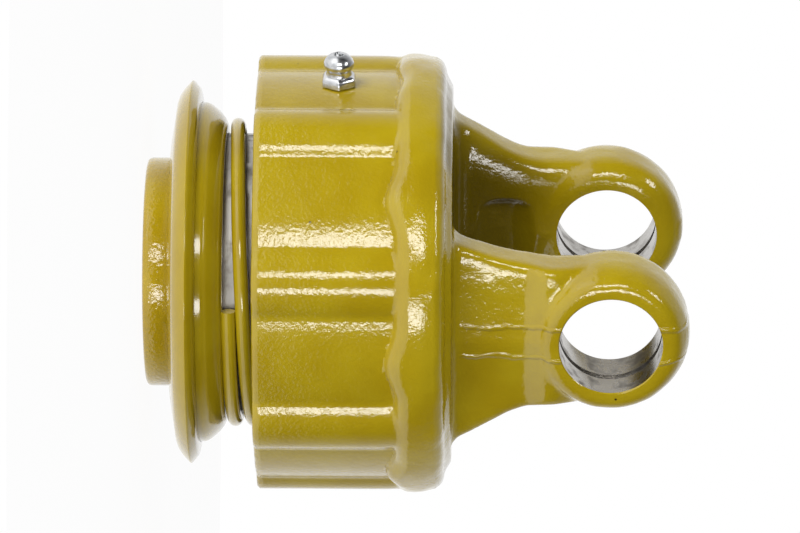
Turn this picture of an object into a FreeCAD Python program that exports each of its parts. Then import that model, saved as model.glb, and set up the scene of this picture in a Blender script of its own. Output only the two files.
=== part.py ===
import FreeCAD, Part
import math
import os

import Sketcher
from FreeCAD import Placement, Rotation, Vector

# Overrunning clutch of a drive shaft, with its fork. Millimetres.
# The shaft axis is +Z and z = 0 is the hub's end face, which the part stands on. The cross bores
# lie on the X axis and the grease nipple points along -Y.

SIZES = [
    # fork and cross bores
    ("cross_bore_radius", 11.0, "bore for a 22 mm bearing cap"),
    ("cross_bore_height", 99.9, "bore axis above the hub's end"),
    ("fork_gap", 38.6, "between the ears' inner faces"),
    ("ear_thickness", 16.5, "inner face to the boss's face"),
    ("ear_radius", 16.9, "outside of the ear about the bore"),
    ("boss_rise", 2.0, "boss above the arm's outer face"),
    ("boss_face_radius", 13.3, "flat ring of the boss"),
    ("ear_inner_round", 5.0, "rounding of the ear's inner rim"),
    ("arm_half_width", 16.5, "half the arm's width below the ear"),
    ("arm_root_half_width", 28.8, "half the arm's width in the shoulder"),
    ("arm_root_height", 63.5, "widest place of the arm, in the shoulder"),
    ("arm_flare_height", 81.8, "where the arm starts to widen"),
    ("arm_flare_round", 18.0, "round of the arm's flare"),
    ("arm_outer_round", 6.5, "forged round of the arm's outer edges"),
    ("arm_root_round", 4.5, "fillet where the arm leaves the fork's floor"),
    ("scoop_height", 77.5, "middle of the relief in the arm's root"),
    ("scoop_depth", 2.4, "relief below the arm's inner face"),
    ("scoop_half_width", 9.5, "half the relief's width"),
    ("scoop_half_length", 7.0, "half the relief's length along the arm"),
    ("cross_kit_length", 54.0, "over the caps of the cross, between the rings"),
    ("bore_groove_width", 1.9, "ring groove in each bore"),
    ("bore_groove_depth", 0.7, "ring groove in each bore"),
    # lobed housing
    ("housing_front", 24.0, "open face of the housing"),
    ("housing_radius", 44.6, "between the lobes"),
    ("lobe_count", 8, "lobes, one over each inner notch"),
    ("lobe_height", 2.5, "lobe above the housing's outside"),
    ("lobe_round", 9.8, "convex round of a lobe"),
    ("lobe_fillet", 2.4, "fillet at the foot of a lobe"),
    ("shoulder_front", 53.2, "front of the shoulder"),
    ("shoulder_radius", 47.9, "shoulder at its front"),
    ("shoulder_taper", 0.5, "shoulder's fall in radius to the back"),
    ("shoulder_back", 64.7, "back rim of the shoulder"),
    ("shoulder_front_round", 1.8, "round of the shoulder's front rim"),
    ("shoulder_back_round", 3.2, "round of the shoulder's back rim"),
    ("floor_radius", 40.8, "flat of the fork's floor"),
    ("floor_height", 66.2, "the fork's floor"),
    ("rim_round", 0.9, "round of the housing's outer front edge"),
    # inside of the housing
    ("land_radius", 36.5, "housing's inner lands"),
    ("notch_drive_half", 4.8, "drive wall of a notch from its middle"),
    ("notch_flat_half", 1.0, "end of the notch's flat, on its ramp side"),
    ("notch_ramp_half", 7.5, "foot of the notch's ramp"),
    ("mouth_step", 0.1, "mouth's wall beyond the notches"),
    ("mouth_depth", 10.7, "front face to the cover ring's seat"),
    ("cavity_length", 23.3, "cover ring's seat to the housing's inner end"),
    ("bush_pocket_depth", 3.9, "pocket for the rear bush"),
    ("bush_wall", 2.0, "wall of the rear bush"),
    ("circlip_width", 1.5, "housing circlip's thickness"),
    ("circlip_groove_depth", 1.3, "its groove in the mouth"),
    ("circlip_band", 3.4, "its radial width"),
    ("circlip_gap_half", 7.0, "half the gap between its ends"),
    ("circlip_lug", 5.6, "diameter of its lugs"),
    ("circlip_lug_hole", 2.0, "hole in each lug"),
    ("cover_ring_width", 2.7, "cover ring's thickness"),
    ("spring_seat_width", 1.2, "spring seat washer's thickness"),
    ("spring_seat_radius", 35.0, "spring seat washer's outside"),
    # hub
    ("hub_radius", 24.75, "hub's lip and collar track"),
    ("hub_round", 1.1, "round of the hub's end"),
    ("neck_radius", 30.1, "neck that guides the collar spring"),
    ("carrier_clearance", 0.3, "pawl carrier inside the lands"),
    ("end_play", 0.3, "pawl carrier to the cover ring"),
    ("nose_radius", 20.0, "rear nose in its bush"),
    ("nose_length", 3.4, "rear nose behind the pawl carrier"),
    ("spline_minor_radius", 14.83, "1 3/8 inch spline, between the slots"),
    ("spline_major_radius", 17.45, "1 3/8 inch spline, in the slots"),
    ("spline_slot_width", 8.7, "1 3/8 inch spline, slot"),
    ("spline_count", 6, "1 3/8 inch spline, slots"),
    ("spline_chamfer", 1.4, "lead-in of the spline"),
    # pawls
    ("pawl_count", 4, "pawls in the hub"),
    ("pawl_half_width", 4.5, "half a pawl's width"),
    ("pawl_base_radius", 27.0, "pawl's foot when pressed in"),
    ("pawl_travel", 3.4, "pawl's stroke into a notch"),
    ("pawl_ramp_start", 0.5, "start of the pawl's ramp from its middle"),
    ("pawl_ramp_drop", 3.0, "fall of the pawl's ramp"),
    ("pawl_slot_clearance", 0.08, "pawl to slot wall, each side"),
    ("pawl_slot_floor", 25.6, "floor of a pawl slot from the axis"),
    ("pawl_end_clearance", 0.35, "pawl to cover ring and to housing end"),
    ("leaf_width", 7.0, "leaf spring's width"),
    ("leaf_length", 20.0, "leaf spring's length"),
    ("leaf_thickness", 0.5, "leaf spring's steel"),
    # quick-release collar
    ("stop_groove_depth", 1.5, "stop ring's groove in the hub"),
    ("stop_ring_front", 5.5, "stop ring's front face"),
    ("stop_ring_width", 0.75, "stop ring's thickness"),
    ("stop_ring_radius", 28.0, "stop ring's outside"),
    ("flange_bore_radius", 27.5, "inner edge of the flange disc"),
    ("flange_front", 5.55, "flange disc's foremost place"),
    ("flange_front_radius", 30.0, "radius there"),
    ("flange_recess", 1.0, "inner edge behind it, for the stop ring"),
    ("flange_dish_radius", 34.3, "where the disc starts to turn back"),
    ("flange_dish_depth", 0.75, "foremost place to there"),
    ("flange_shoulder_radius", 38.6, "front shoulder of the disc's rim"),
    ("flange_shoulder_depth", 1.65, "foremost place to there"),
    ("flange_rim_radius", 41.7, "disc's pointed rim"),
    ("flange_rim_depth", 4.25, "foremost place to the rim"),
    ("flange_back_radius", 39.5, "back shoulder of the rim"),
    ("flange_back_depth", 5.8, "foremost place to there"),
    ("flange_fold_depth", 6.3, "foremost place to the folded lip's end"),
    ("flange_sheet", 1.3, "sheet of the disc"),
    ("barrel_radius", 36.8, "barrel behind the disc"),
    ("barrel_sheet", 1.8, "sheet of the barrel"),
    ("barrel_turn", 13.6, "where the barrel starts to close"),
    ("barrel_slope", 16.1, "end of its first facet"),
    ("barrel_slope_radius", 34.5, "radius there"),
    ("barrel_end", 17.4, "barrel's back end"),
    ("barrel_end_radius", 32.1, "radius there"),
    ("barrel_lip_radius", 38.4, "barrel's lip in the disc's fold"),
    ("collar_clearance", 0.08, "collar's sliding fit on the hub"),
    ("collar_travel", 4.0, "collar's stroke"),
    ("locking_ring_front", 8.0, "locking ring's front face"),
    ("locking_ring_back", 12.9, "locking ring's back face"),
    ("ramp_angle", 30.0, "ball ramp to the axis"),
    ("ball_count", 3, "locking balls"),
    ("ball_radius", 4.75, "locking ball"),
    ("ball_height", 11.0, "balls above the hub's end"),
    ("ball_orbit", 20.0, "ball's centre from the axis when locked"),
    ("ball_clearance", 0.1, "ball in its hole and on the ramp"),
    ("ball_hole_foot", 4.1, "drawn-in foot of a ball's hole, radius"),
    ("ball_hole_taper", 1.6, "from its foot to full width"),
    # collar spring
    ("wire_radius", 1.55, "spring wire"),
    ("coil_radius", 32.0, "middle of the wire from the axis"),
    ("coil_start_height", 18.95, "wire's middle at the cut end"),
    ("coil_rest_height", 19.55, "wire's middle at the end of the dead turn"),
    # grease nipple
    ("nipple_height", 41.7, "nipple's axis above the hub's end"),
    ("nipple_thread_radius", 3.0, "M6 hole in the housing"),
    ("nipple_fit", 0.05, "shank in its hole"),
    ("nipple_hexagon", 7.0, "across flats"),
    ("nipple_hexagon_height", 2.4, "height of the hexagon"),
    ("nipple_neck_radius", 2.35, "neck below the head"),
    ("nipple_head_radius", 3.25, "head"),
    ("nipple_head_height", 5.3, "widest place above the housing"),
    ("nipple_tip_height", 7.1, "tip above the housing"),
    ("nipple_tip_radius", 1.7, "flat of the tip"),
    ("nipple_duct_radius", 0.9, "grease duct"),
    ("nipple_ball_radius", 0.85, "check ball"),
    # clearances shared by flat faces
    ("face_gap", 0.1, "faces that seat on each other"),
]

UPRIGHT = Rotation(Vector(1, 0, 0), 90)  # sketch x, y become world x, z
SIDEWAYS = Rotation(Vector(0, 1, 0), Vector(0, 0, 1), Vector(1, 0, 0))  # x, y become y, z
FLAT = Rotation()
COIL_STEP = 15.0
CUT_END_ANGLE = -10.5

doc = FreeCAD.newDocument("overrunning_clutch")
sheet = doc.addObject("Spreadsheet::Sheet", "size")
for row, (alias, number, note) in enumerate(SIZES, 1):
    sheet.set(f"A{row}", alias.replace("_", " "))
    sheet.set(f"B{row}", str(number))
    sheet.setAlias(f"B{row}", alias)
    sheet.set(f"C{row}", note)
doc.recompute()


def value(expression):
    """A length or count worked out from the sheet."""
    return float(sheet.evalExpression(expression))


def full(expression):
    """An expression on the sheet's aliases, written for an object outside the sheet."""
    words = []
    word = ""
    for letter in expression + " ":
        if letter.isalnum() or letter == "_":
            word += letter
            continue
        words.append("size." + word if "_" in word else word)
        words.append(letter)
        word = ""
    return "".join(words).strip()


def bind(thing, **expressions):
    """Binds properties to the sheet. A double underscore stands for a dot."""
    for name, expression in expressions.items():
        thing.setExpression(name.replace("__", "."), full(expression))
    return thing


def profile(name, corners, turn=FLAT):
    """A closed sketch through corners, each held at two distances from the sketch's origin."""
    sketch = doc.addObject("Sketcher::SketchObject", name)
    sketch.Placement = Placement(Vector(), turn)
    spots = [Vector(value(across), value(up), 0) for across, up in corners]
    for here, there in zip(spots, spots[1:] + spots[:1]):
        sketch.addGeometry(Part.LineSegment(here, there), False)
    for i, (across, up) in enumerate(corners):
        before = (i - 1) % len(corners)
        sketch.addConstraint(Sketcher.Constraint("Coincident", before, 2, i, 1))
        for kind, expression, now in (("DistanceX", across, spots[i].x), ("DistanceY", up, spots[i].y)):
            number = sketch.addConstraint(Sketcher.Constraint(kind, -1, 1, i, 1, now))
            sketch.setExpression(f"Constraints[{number}]", full(expression))
    return sketch


def turned(name, corners):
    """A solid of revolution about the shaft axis, from (radius, height) corners."""
    solid = doc.addObject("Part::Revolution", name)
    solid.Source = profile(name + "_profile", corners, UPRIGHT)
    solid.Axis = Vector(0, 0, 1)
    solid.Angle = 360
    solid.Solid = True
    return solid


def drum(name, radius, bottom, top):
    """An upright cylinder on the shaft axis."""
    return bind(doc.addObject("Part::Cylinder", name), Radius=radius, Height=f"({top}) - ({bottom})",
                Placement__Base__z=bottom)


def ring(name, inner, outer, bottom, top):
    """A plain ring on the shaft axis."""
    return turned(name, [(inner, bottom), (outer, bottom), (outer, top), (inner, top)])


def fused(name, things):
    whole = doc.addObject("Part::MultiFuse", name)
    whole.Shapes = things
    whole.Refine = True
    return whole


def cut(name, base, tools):
    """Base less the tools."""
    result = doc.addObject("Part::Cut", name)
    result.Base = base
    result.Tool = tools[0] if len(tools) == 1 else fused(name + "_tools", tools)
    result.Refine = True
    return result


def rounded(name, base, radius, wanted):
    """Base with a round on each edge that wanted() picks."""
    doc.recompute()
    chosen = [i for i, edge in enumerate(base.Shape.Edges, 1) if wanted(edge)]
    result = doc.addObject("Part::Fillet", name)
    result.Base = base
    result.Edges = [(i, value(radius), value(radius)) for i in chosen]
    doc.recompute()
    return result


def at_height(edge, height, slack=0.01):
    return abs(edge.BoundBox.ZMin - height) < slack and abs(edge.BoundBox.ZMax - height) < slack


def is_circle(edge, radius, height):
    """Whether an edge is a full circle of that radius about the shaft axis."""
    return (isinstance(edge.Curve, Part.Circle) and abs(edge.Curve.Radius - value(radius)) < 0.01
            and at_height(edge, value(height)))


def spun(name, thing, angle):
    """A copy of thing's shape turned about the shaft axis."""
    copy = doc.addObject("Part::Feature", name)
    copy.Shape = thing.Shape
    copy.Placement = Placement(Vector(), Rotation(Vector(0, 0, 1), angle)).multiply(thing.Placement)
    return copy


CREST = "housing_radius + lobe_height"
CREST_CENTRE = f"{CREST} - lobe_round"
SEAT = "housing_front + mouth_depth"
INNER_END = f"{SEAT} + cavity_length"
POCKET_END = f"{INNER_END} + bush_pocket_depth"
NOTCH_FLOOR = "land_radius + pawl_travel + 2 * carrier_clearance"
MOUTH = f"{NOTCH_FLOOR} + mouth_step"
EAR_FACE = "fork_gap / 2 + ear_thickness"
ARM_FACE = f"{EAR_FACE} - boss_rise"
COVER_FRONT = f"{SEAT} - face_gap - cover_ring_width"
CLIP_BACK = f"{COVER_FRONT} - face_gap"
CLIP_FRONT = f"{CLIP_BACK} - circlip_width"
SCOOP_RADIUS = "(scoop_half_length ^ 2 + scoop_depth ^ 2) / (2 * scoop_depth)"
NECK_START = "locking_ring_back + collar_travel + 2 * face_gap"


def lobe_angle(i):
    """A lobe's angle from the cross bores' axis, and that of the notch under it."""
    return 360.0 / value("lobe_count") * (i + 0.5)


def notched(name, turn):
    """One notch of the housing, as a bar along the axis: a drive wall, a flat and a ramp."""
    inner = "land_radius - pawl_travel"
    sketch = profile(name + "_profile", [
        (inner, "-notch_drive_half"),
        (NOTCH_FLOOR, "-notch_drive_half"),
        (NOTCH_FLOOR, "notch_flat_half"),
        ("land_radius - mouth_step * 4", "notch_ramp_half"),
        (inner, "notch_ramp_half"),
    ])
    bind(sketch, Placement__Base__z="housing_front - face_gap")
    bar = doc.addObject("Part::Extrusion", name)
    bar.Base = sketch
    bar.Dir = Vector(0, 0, 1)
    bar.Solid = True
    bind(bar, LengthFwd=f"{INNER_END} - housing_front + face_gap")
    doc.recompute()
    return spun(name + "_turned", bar, turn)


def yoke_housing():
    """The forging: lobed housing, shoulder and fork, bored, notched and grooved."""
    body = drum("housing_body", "housing_radius", "housing_front", "shoulder_front + lobe_height")
    lobes = []
    for i in range(int(value("lobe_count"))):
        turn = math.radians(lobe_angle(i))
        lobe = bind(doc.addObject("Part::Cylinder", f"lobe_{i + 1}"), Radius="lobe_round",
                    Height="shoulder_front + lobe_height - housing_front")
        across, along = value(CREST_CENTRE) * math.cos(turn), value(CREST_CENTRE) * math.sin(turn)
        lobe.Placement.Base = Vector(across, along, value("housing_front"))
        lobes.append(lobe)
    plain = fused("lobed_body", [body] + lobes)

    def foot(edge):
        box = edge.BoundBox
        middle = edge.valueAt((edge.FirstParameter + edge.LastParameter) / 2)
        off = math.hypot(middle.x, middle.y)
        return box.XLength < 0.01 and box.YLength < 0.01 and abs(off - value("housing_radius")) < 0.01

    lobed = rounded("lobed_body_filleted", plain, "lobe_fillet", foot)
    front = value("housing_front")
    lobed = rounded("lobed_body_rimmed", lobed, "rim_round", lambda edge: at_height(edge, front))
    shoulder = turned("shoulder", [
        ("0", "shoulder_front"),
        ("shoulder_radius", "shoulder_front"),
        ("shoulder_radius - shoulder_taper", "shoulder_back"),
        ("floor_radius", "floor_height"),
        ("0", "floor_height"),
    ])
    shoulder = rounded("shoulder_front_rim", shoulder, "shoulder_front_round",
                       lambda edge: is_circle(edge, "shoulder_radius", "shoulder_front"))
    shoulder = rounded("shoulder_back_rim", shoulder, "shoulder_back_round",
                       lambda edge: is_circle(edge, "shoulder_radius - shoulder_taper", "shoulder_back"))
    solid = fused("forging", [lobed, shoulder, arm("arm_near", 1), arm("arm_far", -1)])
    solid = rounded("forging_filleted", solid, "arm_root_round", arm_foot)
    return cut("yoke_housing", solid, cavities())


def arm_foot(edge):
    """Whether an edge runs round an arm where it stands on the fork's floor."""
    box = edge.BoundBox
    reach = math.hypot(max(abs(box.XMin), abs(box.XMax)), max(abs(box.YMin), abs(box.YMax)))
    return at_height(edge, value("floor_height")) and reach < value("floor_radius") - 0.1


def arm(name, side):
    """One arm of the fork with its ear. Side is 1 towards +X and -1 towards -X."""
    outline = profile(name + "_profile", [
        ("-arm_root_half_width", "shoulder_front + shoulder_front_round"),
        ("arm_root_half_width", "shoulder_front + shoulder_front_round"),
        ("arm_root_half_width", "arm_root_height"),
        ("arm_half_width", "arm_flare_height"),
        ("arm_half_width", "cross_bore_height"),
        ("-arm_half_width", "cross_bore_height"),
        ("-arm_half_width", "arm_flare_height"),
        ("-arm_root_half_width", "arm_root_height"),
    ], SIDEWAYS)
    blade = doc.addObject("Part::Extrusion", name + "_blade")
    blade.Base = outline
    blade.Dir = Vector(side, 0, 0)
    blade.Solid = True
    outline.setExpression("Placement.Base.x", full(f"{side} * fork_gap / 2"))
    bind(blade, LengthFwd="ear_thickness - boss_rise")
    flare = value("arm_flare_height")
    blade = rounded(name + "_flared", blade, "arm_flare_round", lambda edge: at_height(edge, flare))
    inner, outer = side * value("fork_gap / 2"), side * value(ARM_FACE)
    bottom = value("arm_root_height")

    def long_edge(edge, across):
        box = edge.BoundBox
        flat = abs(box.XMin - across) < 0.01 and abs(box.XMax - across) < 0.01
        return flat and box.ZMin > bottom - 0.01 and box.ZLength > 1

    blade = rounded(name + "_outer", blade, "arm_outer_round", lambda edge: long_edge(edge, outer))
    blade = rounded(name + "_inner", blade, "ear_inner_round", lambda edge: long_edge(edge, inner))
    return fused(name, [blade, ear(name + "_ear", side)])


def ear(name, side):
    """The round ear about the cross bore, drawn in to its boss."""
    up = "cross_bore_height"
    head = doc.addObject("Part::Revolution", name)
    crown = "ear_radius - boss_rise / 4"
    head.Source = profile(name + "_profile", [
        (f"{side} * fork_gap / 2", up),
        (f"{side} * fork_gap / 2", f"{up} + ear_radius"),
        (f"{side} * (fork_gap / 2 + ear_thickness * 0.6)", f"{up} + ear_radius"),
        (f"{side} * ({EAR_FACE} - boss_rise)", f"{up} + {crown} - boss_rise / 4"),
        (f"{side} * ({EAR_FACE})", f"{up} + boss_face_radius"),
        (f"{side} * ({EAR_FACE})", up),
    ], UPRIGHT)
    head.Axis = Vector(1, 0, 0)
    head.Angle = 360
    head.Solid = True
    bind(head, Base__z=up)
    inner = side * value("fork_gap / 2")
    doc.recompute()

    def inner_rim(edge):
        return abs(edge.BoundBox.XMin - inner) < 0.01 and abs(edge.BoundBox.XMax - inner) < 0.01 \
            and isinstance(edge.Curve, Part.Circle)

    return rounded(name + "_rounded", head, "ear_inner_round", inner_rim)


def crosswise(name, radius, start, end):
    """A cylinder on the cross bores' axis, between two distances from the shaft axis."""
    tool = bind(doc.addObject("Part::Cylinder", name), Radius=radius, Height=f"({end}) - ({start})")
    tool.Placement = Placement(Vector(), Rotation(Vector(0, 1, 0), 90))
    return bind(tool, Placement__Base__x=start, Placement__Base__z="cross_bore_height")


def cavities():
    """Everything that is machined or punched out of the forging."""
    tools = [crosswise("cross_bore", "cross_bore_radius", f"-({EAR_FACE}) - face_gap",
                       f"{EAR_FACE} + face_gap")]
    groove = "cross_bore_radius + bore_groove_depth"
    inner, outer = "cross_kit_length / 2", "cross_kit_length / 2 + bore_groove_width"
    tools.append(crosswise("bore_groove_near", groove, inner, outer))
    tools.append(crosswise("bore_groove_far", groove, f"-({outer})", f"-({inner})"))
    for name, side in (("scoop_near", 1), ("scoop_far", -1)):
        centre = f"{side} * (fork_gap / 2 + scoop_depth - ({SCOOP_RADIUS}))"
        scoop = bind(doc.addObject("Part::Cylinder", name), Radius=SCOOP_RADIUS, Height="2 * scoop_half_width")
        scoop.Placement = Placement(Vector(), Rotation(Vector(1, 0, 0), 90))
        bind(scoop, Placement__Base__x=centre, Placement__Base__y="scoop_half_width",
             Placement__Base__z="scoop_height")
        tools.append(scoop)
    tools.append(drum("mouth", MOUTH, "housing_front - face_gap", SEAT))
    tools.append(drum("mouth_groove", f"{MOUTH} + circlip_groove_depth", f"{CLIP_FRONT} - face_gap",
                      CLIP_BACK))
    tools.append(drum("pawl_cavity", "land_radius", "housing_front - face_gap", INNER_END))
    tools.append(drum("bush_pocket", "nose_radius + collar_clearance + bush_wall + face_gap",
                      f"{INNER_END} - face_gap", POCKET_END))
    for i in range(int(value("lobe_count"))):
        tools.append(notched(f"notch_{i + 1}", lobe_angle(i)))
    hole = bind(doc.addObject("Part::Cylinder", "nipple_hole"), Radius="nipple_thread_radius",
                Height="housing_radius + lobe_height - land_radius + pawl_travel")
    hole.Placement = Placement(Vector(), Rotation(Vector(1, 0, 0), 90))
    bind(hole, Placement__Base__y="pawl_travel - land_radius", Placement__Base__z="nipple_height")
    tools.append(hole)
    return tools


CARRIER_FRONT = f"{SEAT} + end_play - face_gap"
CARRIER_BACK = f"{INNER_END} - end_play"
CARRIER = "land_radius - carrier_clearance"


def hub():
    """The splined hub: collar track, neck, pawl carrier and rear nose."""
    blank = turned("hub_blank", [
        ("spline_minor_radius", "0"),
        ("hub_radius", "0"),
        ("hub_radius", "stop_ring_front - face_gap"),
        ("hub_radius - stop_groove_depth", "stop_ring_front - face_gap"),
        ("hub_radius - stop_groove_depth", "stop_ring_front + stop_ring_width + face_gap"),
        ("hub_radius", "stop_ring_front + stop_ring_width + face_gap"),
        ("hub_radius", NECK_START),
        ("neck_radius", NECK_START),
        ("neck_radius", CARRIER_FRONT),
        (CARRIER, CARRIER_FRONT),
        (CARRIER, CARRIER_BACK),
        ("nose_radius", CARRIER_BACK),
        ("nose_radius", f"{CARRIER_BACK} + nose_length"),
        ("spline_minor_radius", f"{CARRIER_BACK} + nose_length"),
    ])
    blank = rounded("hub_rim", blank, "hub_round", lambda edge: is_circle(edge, "hub_radius", "0"))
    length = f"{CARRIER_BACK} + nose_length + 2 * face_gap"
    tools = [doc.addObject("Part::Cone", "spline_lead_in")]
    bind(tools[0], Radius1="spline_major_radius + spline_chamfer / 2",
         Radius2="spline_major_radius - spline_chamfer", Height="spline_chamfer * 1.5")
    for i in range(int(value("spline_count"))):
        slot = bind(doc.addObject("Part::Box", f"spline_slot_{i + 1}"), Length="spline_major_radius",
                    Width="spline_slot_width", Height=length)
        turn = Rotation(Vector(0, 0, 1), 360.0 / value("spline_count") * i)
        corner = Vector(0, -value("spline_slot_width / 2"), -value("face_gap"))
        slot.Placement = Placement(turn.multVec(corner), turn)
        tools.append(slot)
    round_bar = drum("spline_round_bar", "spline_major_radius", "-face_gap", length)
    slots = fused("spline_slots", tools[1:])
    broach = doc.addObject("Part::Common", "spline_broach")
    broach.Base, broach.Tool = round_bar, slots
    tools[1:] = [broach]
    for i in range(int(value("pawl_count"))):
        tools.append(pawl_slot(i))
    for i in range(int(value("ball_count"))):
        tools.append(ball_hole(i))
    return cut("hub", blank, tools)


def pawl_angle(i):
    return lobe_angle(0) + 360.0 / value("pawl_count") * i


def ball_angle(i):
    return 30.0 + 360.0 / value("ball_count") * i


def pawl_slot(i):
    """A slot through the pawl carrier, open at both ends."""
    half = value("pawl_half_width + pawl_slot_clearance")
    tool = bind(doc.addObject("Part::Box", f"pawl_slot_{i + 1}"), Length="land_radius - pawl_slot_floor",
                Width="2 * (pawl_half_width + pawl_slot_clearance)",
                Height=f"{CARRIER_BACK} - ({CARRIER_FRONT})")
    turn = Rotation(Vector(0, 0, 1), pawl_angle(i))
    corner = Vector(value("pawl_slot_floor"), -half, value(CARRIER_FRONT))
    tool.Placement = Placement(turn.multVec(corner), turn)
    return tool


def ball_hole(i):
    """A radial hole for a locking ball, drawn in at its foot so that the ball can't fall through."""
    narrow, wide = value("ball_hole_foot"), value("ball_radius + ball_clearance")
    seat = value("ball_orbit - ball_clearance") - math.sqrt(value("ball_radius") ** 2 - narrow ** 2)
    outside = value("neck_radius")
    profile_points = [
        Vector(value("spline_minor_radius - face_gap"), 0, 0),
        Vector(value("spline_minor_radius - face_gap"), narrow, 0),
        Vector(seat, narrow, 0),
        Vector(seat + value("ball_hole_taper"), wide, 0),
        Vector(outside, wide, 0),
        Vector(outside, 0, 0),
    ]
    face = Part.Face(Part.makePolygon(profile_points + profile_points[:1]))
    tool = doc.addObject("Part::Feature", f"ball_hole_{i + 1}")
    tool.Shape = face.revolve(Vector(), Vector(1, 0, 0), 360)
    tool.Placement = Placement(Vector(0, 0, value("ball_height")), Rotation(Vector(0, 0, 1), ball_angle(i)))
    return tool


def pawl(i):
    """A sliding pawl, stored pressed in: a square drive side and a ramped overrunning side."""
    sketch = profile(f"pawl_{i + 1}_profile", [
        ("pawl_base_radius", "-pawl_half_width"),
        (CARRIER, "-pawl_half_width"),
        (CARRIER, "pawl_ramp_start"),
        (f"{CARRIER} - pawl_ramp_drop", "pawl_half_width"),
        ("pawl_base_radius", "pawl_half_width"),
    ])
    bar = doc.addObject("Part::Extrusion", f"pawl_{i + 1}_bar")
    bar.Base = sketch
    bar.Dir = Vector(0, 0, 1)
    bar.Solid = True
    bind(sketch, Placement__Base__z=f"{SEAT} + pawl_end_clearance")
    bind(bar, LengthFwd="cavity_length - 2 * pawl_end_clearance")
    doc.recompute()
    return spun(f"pawl_{i + 1}", bar, pawl_angle(i))


def pawl_spring(i):
    """A bowed leaf between the slot's floor and the pawl's foot."""
    low, high = value("pawl_slot_floor + face_gap / 2"), value("pawl_base_radius - face_gap / 2")
    thick = value("leaf_thickness")
    half, width = value("leaf_length / 2"), value("leaf_width / 2")
    middle = value(f"{SEAT} + cavity_length / 2")

    def spot(radius, along):
        return Vector(radius, -width, middle + along)

    under = Part.Arc(spot(low, -half), spot(high - thick, 0), spot(low, half)).toShape()
    over = Part.Arc(spot(low + thick, -half), spot(high, 0), spot(low + thick, half)).toShape()
    ends = [Part.makeLine(spot(low, side * half), spot(low + thick, side * half)) for side in (-1, 1)]
    wire = Part.Wire(Part.__sortEdges__([under, ends[1], over, ends[0]]))
    leaf = doc.addObject("Part::Feature", f"pawl_spring_{i + 1}")
    leaf.Shape = Part.Face(wire).extrude(Vector(0, 2 * width, 0))
    leaf.Placement = Placement(Vector(), Rotation(Vector(0, 0, 1), pawl_angle(i)))
    return leaf


def housing_circlip():
    """An internal retaining ring: open band with a drilled lug at each end."""
    outer = f"{MOUTH} + circlip_groove_depth - face_gap"
    band = ring("circlip_band_whole", f"{MOUTH} - circlip_band", outer, CLIP_FRONT, CLIP_BACK)
    gap = bind(doc.addObject("Part::Box", "circlip_gap"), Length="2 * circlip_gap_half",
               Width="land_radius", Height="circlip_width * 3", Placement__Base__x="-circlip_gap_half",
               Placement__Base__y=f"{MOUTH} - 2 * circlip_band", Placement__Base__z=f"{CLIP_FRONT} - circlip_width")
    parts, holes = [cut("circlip_band_open", band, [gap])], []
    for name, side in (("left", -1), ("right", 1)):
        across = f"{side} * (circlip_gap_half + circlip_lug / 2)"
        along = f"{MOUTH} - circlip_band"
        for kind, radius, keep in (("lug", "circlip_lug / 2", parts),
                                   ("hole", "circlip_lug_hole / 2", holes)):
            post = bind(doc.addObject("Part::Cylinder", f"circlip_{kind}_{name}"), Radius=radius,
                        Height="circlip_width", Placement__Base__x=across,
                        Placement__Base__y=along, Placement__Base__z=CLIP_FRONT)
            keep.append(post)
    return cut("housing_circlip", fused("circlip_with_lugs", parts), holes)


def collar_flange():
    """The collar's pressed disc: dished front, pointed rim and a lip folded in behind."""
    start = "flange_front"
    return turned("collar_flange", [
        ("flange_bore_radius", f"{start} + flange_recess"),
        ("flange_front_radius", start),
        ("flange_dish_radius", f"{start} + flange_dish_depth"),
        ("flange_shoulder_radius", f"{start} + flange_shoulder_depth"),
        ("flange_rim_radius", f"{start} + flange_rim_depth"),
        ("flange_back_radius", f"{start} + flange_back_depth"),
        ("barrel_radius + face_gap", f"{start} + flange_fold_depth"),
        ("barrel_radius + face_gap", f"{start} + flange_fold_depth - flange_sheet"),
        ("flange_shoulder_radius + face_gap", f"{start} + flange_back_depth - flange_sheet"),
        ("flange_shoulder_radius + face_gap", f"{start} + flange_shoulder_depth + flange_sheet"),
        ("flange_dish_radius", f"{start} + flange_dish_depth + flange_sheet"),
        ("flange_front_radius", f"{start} + flange_sheet"),
        ("flange_bore_radius", f"{start} + flange_recess + flange_sheet"),
    ])


def collar_barrel():
    """The collar's pressed cup: a lip in the disc's fold, a wall and a closed-in back end."""
    lip = "flange_front + flange_shoulder_depth + flange_sheet + face_gap"
    inside = "barrel_radius - barrel_sheet"
    guide = "neck_radius + collar_clearance"
    return turned("collar_barrel", [
        (inside, lip),
        ("barrel_lip_radius", lip),
        ("barrel_lip_radius", "flange_front + flange_back_depth - flange_sheet - face_gap"),
        ("barrel_radius", "flange_front + flange_fold_depth - flange_sheet - face_gap"),
        ("barrel_radius", "barrel_turn"),
        ("barrel_slope_radius", "barrel_slope"),
        ("barrel_end_radius", "barrel_end"),
        (guide, "barrel_end"),
        (guide, "barrel_end - barrel_sheet"),
        ("barrel_end_radius", "barrel_end - barrel_sheet"),
        ("barrel_slope_radius - barrel_sheet", "barrel_slope - barrel_sheet / 2"),
        (inside, "barrel_turn - barrel_sheet / 4"),
    ])


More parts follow.
